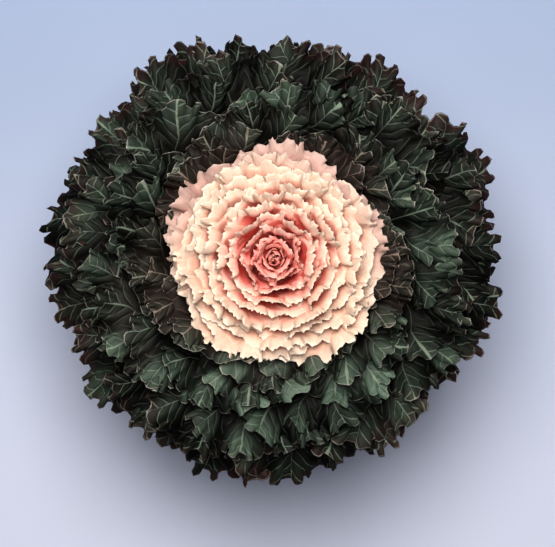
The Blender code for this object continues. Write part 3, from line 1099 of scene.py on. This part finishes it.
def make_crumb_tree():
    """Crumbs scattered on a disc, each a small rough ball with its own size and turn."""
    tree, values = new_tree("soil_crumbs", CRUMB_INPUTS)
    disc = place_node(tree, "GeometryNodeMeshCircle", Vertices=48, Radius=values["Bed radius"])
    disc.fill_type = "NGON"
    lift = join_xyz(tree, 0.0, 0.0, values["Top"])
    bed = pipe(tree, "GeometryNodeTransform", disc.outputs[0], Translation=lift)
    points = pipe(
        tree, "GeometryNodeDistributePointsOnFaces", bed, Density=values["Crumbs per m2"], Seed=values["Seed"]
    )
    ball = place_node(tree, "GeometryNodeMeshIcoSphere", Radius=values["Crumb size"], Subdivisions=1)
    here = Field(tree, tree.nodes.new("GeometryNodeInputPosition").outputs[0])
    dent = noise(tree, here, 900.0) * 0.0003
    rough = pipe(tree, "GeometryNodeSetPosition", ball.outputs[0], Offset=join_xyz(tree, dent, dent, dent * 0.6))
    turn = random_between(tree, (0, 0, 0), (6.3, 6.3, 6.3), 1)
    size = random_between(tree, (0.4, 0.4, 0.3), (1.5, 1.3, 1.0), 2)
    crumbs = pipe(
        tree, "GeometryNodeInstanceOnPoints", points, Instance=Field(tree, rough), Rotation=turn, Scale=size
    )
    finish_tree(tree, crumbs, values["Finish"])
    return tree


def soil_outline():
    """Outline of the soil's block, from the middle of its underside to the middle of its top."""
    low, top = POT_FLOOR + 0.0004, SOIL_TOP - 0.0012
    side = [(0.045, low), (0.0525, 0.018), (0.0695, top - 0.003), (0.050, top - 0.001), (0.02, top)]
    return [(0, low), *side, (0, top)]


BED_SIDES = 64
bed = turned("soil_bed", soil_outline(), BED_SIDES, peat)
for corner in bed.vertices:
    x, y, z = corner.co
    if z > SOIL_TOP - 0.01 and math.hypot(x, y) < 0.068:
        corner.co.z += 0.0012 * math.sin(5 * math.atan2(y, x) + 60 * x) * math.cos(90 * y)
crumbs = grow("crumbs", make_crumb_tree(), {"Finish": peat, "Bed radius": 0.0685, "Top": SOIL_TOP - 0.0020})
soil = show("crumbly_soil", join_meshes("crumbly_soil", [bed, crumbs]), ["potting_soil"])
print("soil", len(soil.data.polygons), "faces")

# %% The stem
STEM_RINGS = 40
STEM_SIDES = 40
STEM_SUNK = 0.0096


def stem_outline():
    """Knobbly outline of the stalk: a shallow step at each old leaf's scar."""
    points = [(0.0, SOIL_TOP - STEM_SUNK)]
    for k in range(STEM_RINGS + 1):
        height = lerp(-STEM_SUNK, STEM_TALL, k / STEM_RINGS)
        knob = -0.0006 * (0.5 + 0.5 * math.sin(height * 900))
        points.append((stem_r(height) + knob, SOIL_TOP + height))
    points.append((0.0, SOIL_TOP + STEM_TALL))
    return points


stem_mesh = turned("woody_stem", stem_outline(), STEM_SIDES, stem_wood)
stem = show("woody_stem", stem_mesh, ["stem"])
print("stem", len(stem.data.polygons), "faces")

# %% [markdown]
# ## The room
# The photograph was taken almost straight down on a pale, slightly blue ground, with its soft shadow towards the
# front. A large warm key lamp from behind and above lays that shadow, a weak fill from overhead reaches into the
# head, and two weak lamps at the sides show the pot. The high contrast look gives the photograph's deep blacks.

# %% Floor, light and camera
GROUND_HALF = 6.0
SKY_STRENGTH = 0.06
PLANT_MIDDLE = Vector((0.0, 0.0, 0.23))
CAMERA_ELEVATION = 90.3
CAMERA_AWAY = 1.20
CAMERA_LENS = 112.0
CAMERA_AIM = Vector((0.0022, -0.0106, 0.235))
# name, azimuth, elevation, distance, size, power, colour
LAMPS = (
    ("key", -175, 74, 1.7, 1.0, 32.5, (1.0, 0.96, 0.90)),
    ("fill", -10, 84, 2.2, 0.6, 2.6, (1.0, 0.97, 0.95)),
    ("left", -80, 30, 2.4, 0.6, 2.6, (1.0, 0.98, 0.95)),
    ("right", 80, 30, 2.4, 0.6, 2.6, (1.0, 0.98, 0.95)),
)


def floor_finish():
    material, tree, shader = new_material("pale_ground")
    place = object_place(tree)
    _, away, _ = split_xyz(place)
    cloud = noise(tree, place, 3.0)
    # painted light: the floor is painted lighter at the front and darker towards the back, a painted fall-off of
    # light
    colour = blend(tree, smooth(away + 0.02 * cloud, -0.30, 0.30), (0.60, 0.635, 0.765), (0.38, 0.455, 0.625))
    set_inputs(tree, shader, Base_Color=colour, Roughness=0.9, Specular_IOR_Level=0.1)
    return material


def add_floor():
    mesh = bpy.data.meshes.new("ground")
    side = GROUND_HALF
    corners = [(-side, -side, 0), (side, -side, 0), (side, side, 0), (-side, side, 0)]
    mesh.from_pydata(corners, [], [(0, 1, 2, 3)])
    mesh.materials.append(floor_finish())
    ground = new_object("ground", mesh)


def add_lamp(name, azimuth, elevation, distance, size, power, colour):
    """A square soft lamp aimed at the plant; azimuth 0 is the front and 90 the right."""
    a, e = math.radians(azimuth), math.radians(elevation)
    away = Vector((math.sin(a) * math.cos(e), -math.cos(a) * math.cos(e), math.sin(e)))
    light = bpy.data.lights.new(name, "AREA")
    light.size = size
    light.energy = power
    light.color = colour
    lamp = new_object(name, light)
    lamp.location = PLANT_MIDDLE + away * distance
    lamp.rotation_mode = "QUATERNION"
    lamp.rotation_quaternion = (-away).to_track_quat("-Z", "Y")


def add_camera():
    e = math.radians(CAMERA_ELEVATION)
    away = Vector((0.0, -math.cos(e), math.sin(e)))
    camera = new_object("camera", bpy.data.cameras.new("camera"))
    camera.data.lens = CAMERA_LENS
    camera.location = CAMERA_AIM + away * CAMERA_AWAY
    camera.rotation_euler = (math.radians(90.0 - CAMERA_ELEVATION), 0.0, 0.0)
    bpy.context.scene.camera = camera


def add_sky():
    world = bpy.data.worlds.new("room")
    world.use_nodes = True
    back = world.node_tree.nodes["Background"]
    back.inputs["Color"].default_value = (0.75, 0.85, 1.0, 1.0)
    back.inputs["Strength"].default_value = SKY_STRENGTH
    bpy.context.scene.world = world


add_floor()
add_sky()
for lamp in LAMPS:
    add_lamp(*lamp)
add_camera()
bpy.context.scene.view_settings.view_transform = "Standard"
bpy.context.scene.view_settings.look = "High Contrast"
print("camera at", [round(v, 3) for v in bpy.context.scene.camera.location])
